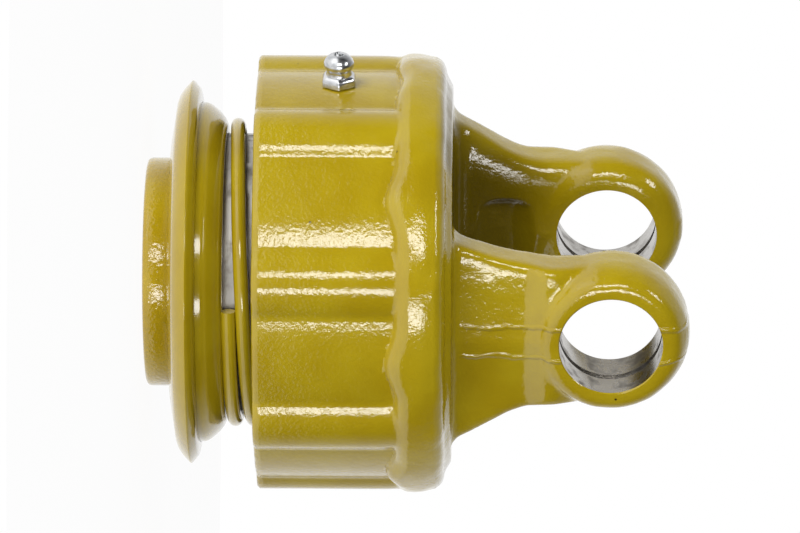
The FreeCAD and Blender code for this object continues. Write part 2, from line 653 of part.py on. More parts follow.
def locking_ring():
    """The turned ring that holds the balls in and lets them out along its ramp."""
    track = "hub_radius + collar_clearance"
    slope = math.radians(value("ramp_angle"))
    reach = value("ball_radius + ball_clearance") - (value(track) - value("ball_orbit")) * math.cos(slope)
    narrow = value("ball_height") + reach / math.sin(slope)
    wide = value(track) + (narrow - value("locking_ring_front")) * math.tan(slope)
    front, back = value("locking_ring_front"), value("locking_ring_back")
    outer = value("barrel_radius - barrel_sheet - face_gap")
    corners = [(wide, front), (outer, front), (outer, back), (value(track), back), (value(track), narrow)]
    points = [Vector(radius, 0, height) for radius, height in corners]
    whole = doc.addObject("Part::Feature", "locking_ring")
    face = Part.Face(Part.makePolygon(points + points[:1]))
    whole.Shape = face.revolve(Vector(), Vector(0, 0, 1), 360)
    return whole


def locking_ball(i):
    ball = bind(doc.addObject("Part::Sphere", f"locking_ball_{i + 1}"), Radius="ball_radius")
    turn = Rotation(Vector(0, 0, 1), ball_angle(i))
    ball.Placement = Placement(turn.multVec(Vector(value("ball_orbit"), 0, 0))
                               + Vector(0, 0, value("ball_height")), turn)
    return ball


def stop_ring():
    """A split ring in the hub's groove."""
    band = ring("stop_ring_band", "hub_radius - stop_groove_depth + face_gap", "stop_ring_radius",
                "stop_ring_front", "stop_ring_front + stop_ring_width")
    gap = bind(doc.addObject("Part::Box", "stop_ring_gap"), Length="stop_ring_radius",
               Width="stop_ring_width * 4", Height="stop_ring_width * 3",
               Placement__Base__y="-stop_ring_width * 2",
               Placement__Base__z="stop_ring_front - stop_ring_width")
    return cut("stop_ring", band, [gap])


def collar_spring():
    """The collar's spring: a dead turn, open turns into the housing's mouth and a dead end there."""
    seat = value(f"{COVER_FRONT} - spring_seat_width - 4 * face_gap - wire_radius")
    start, rest = value("coil_start_height"), value("coil_rest_height")
    keys = [(0, start), (75, rest - 0.1), (170, rest), (255, rest), (360, start + 3.25),
            (435, start + 4.35), (560, seat - 2.2), (680, seat - 0.2), (790, seat), (840, seat)]
    points = []
    for (here, low), (there, high) in zip(keys, keys[1:]):
        steps = round((there - here) / COIL_STEP)
        points += [(here + (there - here) * i / steps, low + (high - low) * i / steps)
                   for i in range(steps)]
    points.append(keys[-1])
    track = []
    for angle, height in points:
        turn = math.radians(CUT_END_ANGLE + angle)
        across, along = math.cos(turn), math.sin(turn)
        track.append(Vector(across, along, 0) * value("coil_radius") + Vector(0, 0, height))
    path = Part.makePolygon(track)
    circle = Part.Wire(Part.makeCircle(value("wire_radius"), track[0], track[1] - track[0]))
    spring = doc.addObject("Part::Feature", "collar_spring")
    spring.Shape = path.makePipeShell([circle], True, False, 1)
    return spring


def nipple_body():
    """An M6 cone-head nipple on the housing, built upright and then laid along -Y."""
    foot, head = "housing_radius", "housing_radius + nipple_head_height"
    shank = "nipple_thread_radius - nipple_fit"
    base = "housing_radius + nipple_hexagon_height"
    stem = turned("nipple_stem", [
        ("nipple_duct_radius", "land_radius + face_gap * 5"),
        (shank, "land_radius + face_gap * 5"),
        (shank, f"{foot} + face_gap"),
        ("nipple_neck_radius", f"{base} + nipple_neck_radius / 2"),
        ("nipple_neck_radius", f"{head} - nipple_neck_radius / 2"),
        ("nipple_head_radius", head),
        ("nipple_head_radius * 0.82", f"{head} + nipple_tip_radius / 2"),
        ("nipple_tip_radius", "housing_radius + nipple_tip_height"),
        ("nipple_duct_radius", "housing_radius + nipple_tip_height"),
    ])
    nut = bind(doc.addObject("Part::Prism", "nipple_nut"), Circumradius="nipple_hexagon / sqrt(3)",
               Height="nipple_hexagon_height - face_gap", Placement__Base__z=f"{foot} + face_gap")
    nut.Polygon = 6
    duct = drum("nipple_duct", "nipple_duct_radius", "land_radius", "housing_radius + nipple_tip_height")
    upright = cut("nipple_upright", fused("nipple_stem_and_nut", [stem, nut]), [duct])
    doc.recompute()
    laid = doc.addObject("Part::Feature", "nipple_body")
    laid.Shape = upright.Shape
    laid.Placement = Placement(Vector(0, 0, value("nipple_height")), Rotation(Vector(1, 0, 0), 90))
    return laid


def nipple_ball():
    ball = bind(doc.addObject("Part::Sphere", "nipple_ball"), Radius="nipple_ball_radius")
    reach = "housing_radius + nipple_tip_height - nipple_ball_radius * 0.9"
    return bind(ball, Placement__Base__y=f"-({reach})", Placement__Base__z="nipple_height")


def build():
    """Every sub-part, in the order of assembly."""
    nodes = [yoke_housing(), hub(), housing_circlip()]
    for i in range(int(value("pawl_count"))):
        nodes += [pawl(i), pawl_spring(i)]
    running = "neck_radius + collar_clearance"
    nodes.append(ring("cover_ring", running, f"{MOUTH} - face_gap", COVER_FRONT, f"{SEAT} - face_gap"))
    nodes.append(ring("rear_bush", "nose_radius + collar_clearance",
                      "nose_radius + collar_clearance + bush_wall", f"{INNER_END} + face_gap",
                      f"{POCKET_END} - face_gap"))
    nodes.append(ring("spring_seat", running, "spring_seat_radius",
                      f"{COVER_FRONT} - 3 * face_gap - spring_seat_width", f"{COVER_FRONT} - 3 * face_gap"))
    nodes += [collar_spring(), collar_flange(), collar_barrel(), locking_ring(), stop_ring()]
    nodes += [locking_ball(i) for i in range(int(value("ball_count")))]
    nodes += [nipple_body(), nipple_ball()]
    return nodes


def main():
    nodes = build()
    doc.recompute()
    for thing in doc.Objects:
        if "Invalid" in thing.State or "Error" in thing.State:
            raise RuntimeError(f"{thing.Name} failed: {thing.State}")
    os.makedirs("parts", exist_ok=True)
    for node in nodes:
        node.Label = node.Name
        if node.Shape.isNull() or not node.Shape.isValid():
            raise RuntimeError(f"{node.Name} has no valid shape")
    for node in nodes:
        node.Shape.exportStep(f"parts/{node.Label}.step")
        print(f"{node.Label:18s} {len(node.Shape.Solids)} solid {node.Shape.Volume / 1000:9.3f} cm3 "
              f"{len(node.Shape.Faces)} faces")


main()
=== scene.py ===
import logging
import math
from collections.abc import Iterable
from dataclasses import dataclass, field
from enum import Enum

import bpy
from mathutils import Matrix, Vector, noise


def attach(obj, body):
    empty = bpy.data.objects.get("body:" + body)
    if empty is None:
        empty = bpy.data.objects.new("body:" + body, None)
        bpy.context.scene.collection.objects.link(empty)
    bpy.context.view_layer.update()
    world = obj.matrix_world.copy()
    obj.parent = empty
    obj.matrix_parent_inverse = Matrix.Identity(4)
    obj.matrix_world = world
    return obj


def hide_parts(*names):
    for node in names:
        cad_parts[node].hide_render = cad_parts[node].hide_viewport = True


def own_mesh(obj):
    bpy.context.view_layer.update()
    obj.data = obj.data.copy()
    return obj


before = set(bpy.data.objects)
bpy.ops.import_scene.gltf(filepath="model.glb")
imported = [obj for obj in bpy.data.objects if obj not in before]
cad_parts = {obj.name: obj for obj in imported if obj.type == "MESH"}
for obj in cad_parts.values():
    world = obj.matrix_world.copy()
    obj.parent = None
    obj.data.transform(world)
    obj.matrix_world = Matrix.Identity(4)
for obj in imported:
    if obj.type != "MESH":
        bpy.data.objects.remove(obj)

LOG = logging.getLogger("clutch")
MM = 0.001
NODES: dict[str, bpy.types.Object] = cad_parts
Profile = list[tuple[float, float]]


class Slot(Enum):
    """The record's material slots."""

    ENAMEL = "olive_enamel"
    STEEL = "machined_steel"
    SPRING = "spring_steel"
    BRONZE = "bronze"
    ZINC = "zinc"


# --- finishes ---------------------------------------------------------------------------------

def linear(code: str) -> tuple[float, float, float, float]:
    """Turns an sRGB hex colour to linear light.

    Args:
        code: Six hex digits after a hash.

    Returns:
        Red, green, blue and an alpha of one.
    """
    parts = [int(code[i:i + 2], 16) / 255 for i in (1, 3, 5)]
    light = [c / 12.92 if c <= 0.04045 else ((c + 0.055) / 1.055) ** 2.4 for c in parts]
    return (*light, 1.0)


def add_node(tree: bpy.types.NodeTree, kind: str, settings: dict | None = None,
             links: dict | None = None) -> bpy.types.Node:
    """Adds one node with its settings and its incoming links.

    Args:
        tree: The node tree that gets it.
        kind: The node's type, such as ShaderNodeMath.
        settings: Values by attribute name, or by the name or number of an input.
        links: Output sockets by the name or number of the input that each feeds.

    Returns:
        The new node.
    """
    node = tree.nodes.new(kind)
    for key, value in (settings or {}).items():
        if isinstance(key, int) or key in node.inputs:
            node.inputs[key].default_value = value
        else:
            setattr(node, key, value)
    for key, socket in (links or {}).items():
        tree.links.new(socket, node.inputs[key])
    return node


class Recipe:
    """A material's node tree in the making, with the moves that every finish needs."""

    def __init__(self, name: str) -> None:
        """Starts an empty material of that name."""
        self.material = bpy.data.materials.new(name)
        self.material.use_nodes = True
        self.tree = self.material.node_tree
        self.tree.nodes.clear()
        place = add_node(self.tree, "ShaderNodeTexCoord")
        self.mm = add_node(self.tree, "ShaderNodeMapping", {"Scale": (1 / MM,) * 3},
                           {"Vector": place.outputs["Object"]}).outputs[0]
        self.apart = add_node(self.tree, "ShaderNodeSeparateXYZ", {}, {0: self.mm})

    def math(self, operation: str, *values: object) -> bpy.types.NodeSocket:
        """Works out a number.

        Args:
            operation: The Math node's operation.
            values: Numbers, or sockets that give them.

        Returns:
            The result's socket.
        """
        settings = {i: v for i, v in enumerate(values) if isinstance(v, (int, float))}
        links = {i: v for i, v in enumerate(values) if i not in settings}
        return add_node(self.tree, "ShaderNodeMath", {"operation": operation, **settings}, links).outputs[0]

    def clouds(self, size: float, detail: float = 2.0, stretch: tuple[float, float, float] = (1, 1, 1)
               ) -> bpy.types.NodeSocket:
        """A soft noise whose features are about size millimetres across.

        Args:
            size: The size of a feature in millimetres.
            detail: Finer octaves on top.
            stretch: How many times finer the noise is along each axis.

        Returns:
            The noise, from 0 to 1.
        """
        spread = add_node(self.tree, "ShaderNodeMapping", {"Scale": stretch}, {"Vector": self.mm})
        return add_node(self.tree, "ShaderNodeTexNoise", {"Scale": 1 / size, "Detail": detail},
                        {"Vector": spread.outputs[0]}).outputs["Fac"]

    def between(self, value: bpy.types.NodeSocket, low: float, high: float) -> bpy.types.NodeSocket:
        """Rises smoothly from 0 to 1 as value goes from low to high."""
        settings = {"interpolation_type": "SMOOTHSTEP", "From Min": low, "From Max": high}
        return add_node(self.tree, "ShaderNodeMapRange", settings, {"Value": value}).outputs[0]

    def mixed(self, share: object, here: object, there: object) -> bpy.types.NodeSocket:
        """Goes from one colour to another.

        Args:
            share: How much of the second there is, as a number or a socket.
            here: The first colour, as hex or a socket.
            there: The second colour, as hex or a socket.

        Returns:
            The mixed colour's socket.
        """
        node = add_node(self.tree, "ShaderNodeMix", {"data_type": "RGBA"})
        for number, value in ((0, share), (6, here), (7, there)):
            if isinstance(value, str):
                node.inputs[number].default_value = linear(value)
            elif isinstance(value, (int, float)):
                node.inputs[number].default_value = value
            else:
                self.tree.links.new(value, node.inputs[number])
        return node.outputs[2]

    def bumps(self, layers: list[tuple[object, float]]) -> bpy.types.NodeSocket:
        """Stacks bump layers.

        Args:
            layers: Each layer's height from 0 to 1 and its depth in millimetres.

        Returns:
            The normal's socket.
        """
        normal = None
        for height, depth in layers:
            links = {"Height": height} | ({"Normal": normal} if normal else {})
            bump = add_node(self.tree, "ShaderNodeBump", {"Strength": 1.0, "Distance": depth * MM}, links)
            normal = bump.outputs[0]
        return normal

    def close(self, settings: dict, links: dict) -> bpy.types.Material:
        """Ends in a Principled shader with those settings and links."""
        shader = add_node(self.tree, "ShaderNodeBsdfPrincipled", settings, links)
        add_node(self.tree, "ShaderNodeOutputMaterial", {}, {"Surface": shader.outputs[0]})
        return self.material


@dataclass(frozen=True)
class Enamel:
    """Olive-yellow machinery enamel, sprayed in one coat: glossy, with orange peel.

    On a forged skin the peel is coarser and small pits and specks of dirt show through it.
    """

    name: str = "enamel_on_turned_steel"
    colour: str = "#AC9614"
    deep: str = "#A28A0C"
    peel_size: float = 2.6
    peel_depth: float = 0.012
    grain_size: float = 0.7
    grain_depth: float = 0.012
    forged: bool = False

    def material(self) -> bpy.types.Material:
        """Builds the enamel's nodes."""
        recipe = Recipe(self.name)
        peel = recipe.clouds(self.peel_size, 1.0)
        grain = recipe.clouds(self.grain_size, 2.0)
        colour = recipe.mixed(recipe.between(recipe.clouds(14.0, 3.0), 0.3, 0.7), self.colour, self.deep)
        layers = [(peel, self.peel_depth), (grain, self.grain_depth)]
        rough = recipe.math("MULTIPLY_ADD", recipe.clouds(5.0, 3.0), 0.10, 0.08)
        specks = self.specks(recipe)
        colour = recipe.mixed(specks, colour, "#2E2A10")
        if self.forged:
            # Painted shade: the paint is darkened between the arms towards the fork's floor.
            colour = recipe.mixed(self.painted_fork_shade(recipe), colour, "#5A4A06")
            layers.append((self.forged_skin(recipe), 0.07))
            layers.append((self.parting_line(recipe), 0.22))
        relief = recipe.bumps(layers)
        return recipe.close({"IOR": 1.52, "Coat Weight": 0.5, "Coat Roughness": 0.05},
                            {"Base Color": colour, "Roughness": rough, "Normal": relief,
                             "Coat Normal": relief})

    def specks(self, recipe: Recipe) -> bpy.types.NodeSocket:
        """Sparse dark pits of about half a millimetre, more of them on a forged skin."""
        cells = add_node(recipe.tree, "ShaderNodeTexVoronoi", {"Scale": 1 / (6.0 if self.forged else 9.0)},
                         {"Vector": recipe.mm})
        near = recipe.math("SUBTRACT", 1.0, recipe.between(cells.outputs["Distance"], 0.025, 0.065))
        apart = add_node(recipe.tree, "ShaderNodeSeparateColor", {}, {0: cells.outputs["Color"]})
        chosen = recipe.between(apart.outputs[0], 0.72, 0.76)
        return recipe.math("MULTIPLY", near, chosen)

    def painted_fork_shade(self, recipe: Recipe) -> bpy.types.NodeSocket:
        """Painted shade between the arms, darkest at the fork's floor where the arms close in."""
        aside = recipe.math("ABSOLUTE", recipe.apart.outputs[0])
        between_arms = recipe.math("SUBTRACT", 1.0, recipe.between(aside, 21.0, 26.0))
        depth = recipe.math("SUBTRACT", 1.0, recipe.between(recipe.apart.outputs[2], 76.0, 94.0))
        past_floor = recipe.between(recipe.apart.outputs[2], 63.0, 65.0)
        share = recipe.math("MULTIPLY", recipe.math("MULTIPLY", between_arms, depth), past_floor)
        return recipe.math("MULTIPLY", share, 0.75)

    def forged_skin(self, recipe: Recipe) -> bpy.types.NodeSocket:
        """Hammered unevenness of the forged skin, coarser than the peel and patchy."""
        patches = recipe.between(recipe.clouds(9.0, 2.0), 0.42, 0.62)
        fork = recipe.between(recipe.apart.outputs[2], 52.0, 58.0)
        share = recipe.math("MULTIPLY_ADD", fork, 0.75, 0.12)
        return recipe.math("MULTIPLY", recipe.math("MULTIPLY", patches, share), recipe.clouds(1.3, 3.0))

    def parting_line(self, recipe: Recipe) -> bpy.types.NodeSocket:
        """The trimmed edge where the two dies met, along the arms' outer faces and round the ears."""
        wander = recipe.math("MULTIPLY_ADD", recipe.clouds(7.0, 3.0), 3.6, -1.8)
        across = recipe.math("ADD", recipe.apart.outputs[1], wander)
        edge = recipe.math("ABSOLUTE", recipe.math("SUBTRACT", recipe.math("ABSOLUTE", across), 3.4))
        ridge = recipe.math("SUBTRACT", 1.0, recipe.between(edge, 0.1, 0.7))
        outside = recipe.between(recipe.math("ABSOLUTE", recipe.apart.outputs[0]), 26.0, 29.0)
        fork = recipe.between(recipe.apart.outputs[2], 67.0, 70.0)
        return recipe.math("MULTIPLY", recipe.math("MULTIPLY", ridge, outside), fork)


@dataclass(frozen=True)
class MachinedSteel:
    """Turned or bored steel, lightly oiled: fine rings about an axis, with stains."""

    name: str
    colour: str = "#B9B5AE"
    stain: str = "#6E675C"
    along: int = 2
    ring_size: float = 0.35
    roughness: float = 0.30

    def material(self) -> bpy.types.Material:
        """Builds the steel's nodes, with the tool's rings stacked along one axis."""
        recipe = Recipe(self.name)
        stretch = tuple(1.0 if i == self.along else 0.03 for i in range(3))
        rings = recipe.clouds(self.ring_size, 3.0, stretch)
        stains = recipe.between(recipe.clouds(3.5, 4.0), 0.45, 0.72)
        colour = recipe.mixed(recipe.math("MULTIPLY", stains, 0.7), self.colour, self.stain)
        colour = recipe.mixed(recipe.math("MULTIPLY", rings, 0.35), colour, "#4E4A44")
        rough = recipe.math("MULTIPLY_ADD", stains, 0.22, self.roughness)
        return recipe.close({"Metallic": 1.0}, {"Base Color": colour, "Roughness": rough,
                                                "Normal": recipe.bumps([(rings, 0.012)])})


@dataclass(frozen=True)
class PlainMetal:
    """Zinc plate, phosphated spring steel or bronze: one colour with a cloudy lustre."""

    name: str
    colour: str
    shade: str
    roughness: float
    cloud_size: float = 1.6

    def material(self) -> bpy.types.Material:
        """Builds the metal's nodes."""
        recipe = Recipe(self.name)
        cloud = recipe.clouds(self.cloud_size, 3.0)
        rough = recipe.math("MULTIPLY_ADD", cloud, 0.16, self.roughness)
        colour = recipe.mixed(recipe.between(cloud, 0.35, 0.7), self.colour, self.shade)
        return recipe.close({"Metallic": 1.0}, {"Base Color": colour, "Roughness": rough,
                                                "Normal": recipe.bumps([(cloud, 0.006)])})


@dataclass
class Paintshop:
    """Every finish, made once."""

    turned: bpy.types.Material = field(default_factory=lambda: Enamel().material())
    forged: bpy.types.Material = field(default_factory=lambda: Enamel(
        name="enamel_on_forging", peel_size=2.4, peel_depth=0.035, grain_size=0.75, grain_depth=0.06,
        forged=True).material())
    lip: bpy.types.Material = field(default_factory=lambda: Enamel(
        name="enamel_on_hub_lip", grain_size=0.9, grain_depth=0.10).material())
    steel: bpy.types.Material = field(default_factory=lambda: MachinedSteel("turned_steel").material())
    bored: bpy.types.Material = field(default_factory=lambda: MachinedSteel(
        "bored_steel", colour="#C4C1BC", stain="#5E564C", along=0, roughness=0.24).material())
    spring: bpy.types.Material = field(default_factory=lambda: PlainMetal(
        "phosphated_spring_steel", "#3A3A3C", "#232324", 0.42).material())
    bronze: bpy.types.Material = field(default_factory=lambda: PlainMetal(
        "bearing_bronze", "#B08A4A", "#8D6B34", 0.32).material())
    zinc: bpy.types.Material = field(default_factory=lambda: PlainMetal(
        "bright_zinc_plate", "#DCDDDF", "#B9BBBE", 0.16).material())


# --- workshop moves -----------------------------------------------------------------------------

def deselect() -> None:
    """Leaves edit mode and selects nothing."""
    if bpy.context.object and bpy.context.object.mode != "OBJECT":
        bpy.ops.object.mode_set(mode="OBJECT")
    bpy.ops.object.select_all(action="DESELECT")


def pick(*pieces: bpy.types.Object) -> None:
    """Selects these pieces alone, the first one active."""
    deselect()
    for piece in pieces:
        piece.select_set(True)
    bpy.context.view_layer.objects.active = pieces[0]


def named(name: str) -> bpy.types.Object:
    """Names the active object and its mesh, and returns it."""
    piece = bpy.context.active_object
    piece.name = piece.data.name = name
    return piece


def settled(piece: bpy.types.Object) -> bpy.types.Object:
    """Moves a piece's place and turn into its mesh."""
    pick(piece)
    bpy.ops.object.transform_apply(location=True, rotation=True, scale=True)
    return piece


def modified(piece: bpy.types.Object, kind: str, **settings: object) -> bpy.types.Object:
    """Adds a modifier with its settings and applies it."""
    pick(piece)
    modifier = piece.modifiers.new(kind.lower(), kind)
    for key, value in settings.items():
        setattr(modifier, key, value)
    bpy.ops.object.modifier_apply(modifier=modifier.name)
    return piece


def bevelled(piece: bpy.types.Object, width: float, angle: float = 25.0, segments: int = 3
             ) -> bpy.types.Object:
    """Rounds the edges that are sharper than angle degrees, width in millimetres."""
    return modified(piece, "BEVEL", width=width * MM, segments=segments, limit_method="ANGLE",
                    angle_limit=math.radians(angle), harden_normals=False)


def cut_away(piece: bpy.types.Object, tool: bpy.types.Object) -> bpy.types.Object:
    """Cuts a closed tool out of a closed piece and removes the tool."""
    modified(piece, "BOOLEAN", operation="DIFFERENCE", object=tool, solver="MANIFOLD")
    bpy.data.objects.remove(tool)
    return piece


def smooth(piece: bpy.types.Object, angle: float = 34.0) -> bpy.types.Object:
    """Shades a piece smooth, but for edges sharper than angle degrees."""
    pick(piece)
    bpy.ops.object.shade_smooth_by_angle(angle=math.radians(angle))
    return piece


def lathe(name: str, profile: Profile, steps: int = 180) -> bpy.types.Object:
    """Turns a closed profile about the shaft axis.

    Args:
        name: The piece's name.
        profile: (radius, height) corners in millimetres.
        steps: Facets round the turn.

    Returns:
        A closed piece.
    """
    deselect()
    bpy.ops.mesh.primitive_plane_add(size=MM)
    piece = named(name)
    bpy.ops.object.mode_set(mode="EDIT")
    bpy.ops.mesh.merge(type="CENTER")
    here = Vector((profile[0][0], 0, profile[0][1])) * MM
    bpy.ops.transform.translate(value=here)
    for radius, height in profile[1:] + profile[:1]:
        there = Vector((radius, 0, height)) * MM
        bpy.ops.mesh.extrude_region_move(TRANSFORM_OT_translate={"value": there - here})
        here = there
    bpy.ops.mesh.select_all(action="SELECT")
    bpy.ops.mesh.spin(steps=steps, angle=math.tau, center=(0, 0, 0), axis=(0, 0, 1))
    bpy.ops.mesh.select_all(action="SELECT")
    bpy.ops.mesh.remove_doubles(threshold=MM / 500)
    bpy.ops.mesh.select_all(action="SELECT")
    bpy.ops.mesh.dissolve_degenerate(threshold=MM / 500)
    bpy.ops.mesh.normals_make_consistent(inside=False)
    bpy.ops.object.mode_set(mode="OBJECT")
    return piece


def turned_out(piece: bpy.types.Object) -> bpy.types.Object:
    """Makes a closed piece's faces point outwards."""
    pick(piece)
    bpy.ops.object.mode_set(mode="EDIT")
    bpy.ops.mesh.select_all(action="SELECT")
    bpy.ops.mesh.normals_make_consistent(inside=False)
    bpy.ops.object.mode_set(mode="OBJECT")
    return piece


def drum(name: str, around: int, rings: int) -> bpy.types.Object:
    """A closed cylinder, 1 mm in radius and from -1 to 1 mm high, in level rings, ready to be shaped."""
    wall = [(1.0, 2 * i / (rings - 1) - 1) for i in range(rings)]
    return lathe(name, [(0.0, -1.0)] + wall + [(0.0, 1.0)], around)


def along_x(piece: bpy.types.Object, height: float) -> bpy.types.Object:
    """Lays a turned piece's axis along +X at a height in millimetres."""
    piece.rotation_euler = (0, math.pi / 2, 0)
    piece.location.z = height * MM
    return settled(piece)


def block(name: str, size: tuple[float, float, float], place: tuple[float, float, float]
          ) -> bpy.types.Object:
    """A box of that size in millimetres, about a place in millimetres."""
    deselect()
    bpy.ops.mesh.primitive_cube_add(size=1)
    piece = named(name)
    piece.scale = [value * MM for value in size]
    piece.location = [value * MM for value in place]
    return settled(piece)


def rod(name: str, radius: float, length: float, lie: tuple[float, float, float],
        place: tuple[float, float, float]) -> bpy.types.Object:
    """A cylinder in millimetres, turned by lie in radians, about a place in millimetres."""
    deselect()
    bpy.ops.mesh.primitive_cylinder_add(vertices=48, radius=radius * MM, depth=length * MM)
    piece = named(name)
    piece.rotation_euler = lie
    piece.location = [value * MM for value in place]
    return settled(piece)


def repeated(piece: bpy.types.Object, count: int, first: float = 0.0) -> bpy.types.Object:
    """Joins count copies of a piece, evenly round the shaft axis from first degrees on."""
    piece.rotation_euler = (0, 0, math.radians(first))
    settled(piece)
    copies = [piece]
    for i in range(1, count):
        pick(piece)
        bpy.ops.object.duplicate()
        copy = bpy.context.active_object
        copy.rotation_euler = (0, 0, math.tau * i / count)
        copies.append(settled(copy))
    pick(*copies)
    bpy.ops.object.join()
    return piece


def dressed(piece: bpy.types.Object, body: str, slot: Slot, *finishes: bpy.types.Material,
            stands_for: Iterable[str] = ()) -> bpy.types.Object:
    """Paints a piece and hangs it on its body.

    Args:
        piece: The finished piece.
        body: The CAD body that it rides on.
        slot: The record's slot for its finish; not used.
        finishes: Its materials, in the order of its faces' material numbers.
        stands_for: The CAD nodes that it replaces.

    Returns:
        The piece.
    """
    piece.data.materials.clear()
    for finish in finishes:
        piece.data.materials.append(finish)
    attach(piece, body)
    for node in stands_for:
        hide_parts(node)
    LOG.info("%s: %d faces on %s", piece.name, len(piece.data.polygons), body)
    return piece


def smooth_max(a: float, b: float, width: float) -> float:
    """The larger of two lengths, with a fillet about width wide where they cross."""
    share = min(1.0, max(0.0, 0.5 + 0.5 * (a - b) / width))
    return b + (a - b) * share + width * share * (1 - share)


def step(value: float, low: float, high: float) -> float:
    """Rises smoothly from 0 to 1 as value goes from low to high."""
    share = min(1.0, max(0.0, (value - low) / (high - low)))
    return share * share * (3 - 2 * share)


# --- the forging --------------------------------------------------------------------------------

@dataclass
class Forging:
    """The lobed housing and its fork: one forging, painted, with bare machined bores."""

    shop: Paintshop
    front: float = 24.0
    radius: float = 44.6
    crest: float = 47.1
    lobe_round: float = 9.8
    lobe_fillet: float = 0.6
    lobes: int = 8
    first_lobe: float = 22.5
    shoulder: float = 53.9
    bulge: float = 1.9
    bulge_half: float = 11.0
    nipple_dent: float = 0.9
    shoulder_run: float = 3.4
    shoulder_fillet: float = 0.7
    shoulder_top: float = 47.75
    shoulder_middle: float = 58.0
    shoulder_back: float = 62.2
    floor: float = 66.2
    floor_radius: float = 40.8
    bore_height: float = 99.9
    bore: float = 11.0
    groove: float = 11.75
    groove_span: tuple[float, float] = (27.0, 28.9)
    gap_half: float = 19.3
    arm_face: float = 33.8
    ear_face: float = 35.8
    ear: float = 16.9
    arm_half_width: float = 16.1
    arm_low: float = 58.0
    flare_height: float = 82.15
    full_flare: float = 0.62
    slim_flare: float = 0.34
    ramp_foot: float = 81.8
    ramp_run: float = 4.2
    ramp_rise: float = 1.35
    corner_outside: float = 9.0
    corner_inside: float = 4.6
    draft: float = 0.12
    mouth: float = 40.6
    land: float = 36.5
    seat: float = 34.7
    inner_end: float = 58.0
    nipple_height: float = 41.7
    voxel: float = 0.6

    def off_middle(self, angle: float) -> float:
        """How far an angle in degrees lies from the nearest multiple of the lobes' pitch."""
        pitch = 360.0 / self.lobes
        return (angle + pitch / 2) % pitch - pitch / 2

    def lobed(self, angle: float) -> float:
        """The housing's radius at an angle in degrees, lobes and their fillets included."""
        local = self.off_middle(angle - self.first_lobe)
        centre = self.crest - self.lobe_round
        aside = centre * math.sin(math.radians(local))
        inside = self.lobe_round ** 2 - aside ** 2
        if inside <= 0:
            return self.radius
        bump = centre * math.cos(math.radians(local)) + math.sqrt(inside)
        return smooth_max(bump, self.radius, self.lobe_fillet)

    def shoulder_start(self, angle: float) -> float:
        """Where the shoulder rises: nearer the hub between lobes, but not at the nipple."""
        off = min(abs(self.off_middle(angle)), self.bulge_half)
        bulge = math.cos(math.pi / 2 * off / self.bulge_half) ** 2
        at_nipple = abs((angle - 90) % 180 - 90) > 67
        return self.shoulder + bulge * (self.nipple_dent if at_nipple else -self.bulge)

    def outside(self, angle: float, height: float) -> float:
        """The forging's radius below the fork, at an angle and a height."""
        start = self.shoulder_start(angle)
        rise = min(1.0, max(0.0, (height - start) / self.shoulder_run))
        low = self.radius - 0.4
        flank = low + (self.shoulder_top - low) * math.sqrt(1 - (1 - rise) ** 2)
        flank -= max(0.0, height - self.shoulder_middle) ** 2 / 24
        turn = math.radians(angle)
        across, along = math.cos(turn), math.sin(turn)
        wide = noise.noise(Vector((across * 3.1, along * 3.1, height * 0.07)))
        lumps = noise.noise(Vector((across * 8.0, along * 8.0, height * 0.22 + 4)))
        share = step(height, 50.0, 55.0)
        uneven = -0.16 * share + (0.10 * wide + 0.16 * lumps) * share + 0.035 * wide
        return smooth_max(self.lobed(angle), flank, self.shoulder_fillet) + min(uneven, 0.04)

    def shell(self) -> bpy.types.Object:
        """The closed lobed housing up to the fork's floor, shaped ring by ring."""
        rings = [(self.front, -0.5), (self.front, -0.45), (self.front + 0.3, -0.08)]
        rings += [(self.front + 0.6 * i, 0.0) for i in range(1, 64)]
        for i in range(1, 9):
            turn = math.radians(90 / 8 * i)
            rings.append((self.shoulder_back + 2.6 * math.sin(turn), -3.6 * (1 - math.cos(turn))))
        rings.append((self.floor, self.floor_radius))
        piece = drum("forging", 360, len(rings))
        for vertex in piece.data.vertices:
            x, y, level = vertex.co / MM
            height, inset = rings[round((level + 1) / 2 * (len(rings) - 1))]
            angle = math.degrees(math.atan2(y, x)) % 360
            radius = inset
            if inset <= 0:
                radius += self.outside(angle, min(height, self.shoulder_back))
            vertex.co = Vector((radius * x, radius * y, height)) * MM
        return piece

    def arm_width(self, height: float, flare: float) -> float:
        """Half the arm's width at a height: parallel below the ear and flared at its root."""
        flared = self.arm_half_width + flare * (self.flare_height - height)
        return smooth_max(flared, self.arm_half_width, 3.4)

    def arm_outer(self, height: float) -> float:
        """The arm's outer face at mid-width: a ramp lifts it towards the boss."""
        ramp = min(1.0, max(0.0, (height - self.ramp_foot) / self.ramp_run))
        return self.arm_face + self.ramp_rise * ramp - 3.2 * step(height, 87.0, 97.0)

    def root(self, height: float, reach: float) -> float:
        """A quarter-round flare's share at a height, reach millimetres above the fork's floor."""
        share = max(0.0, 1 - max(0.0, height - self.floor) / reach)
        return 1 - math.sqrt(1 - share ** 2)

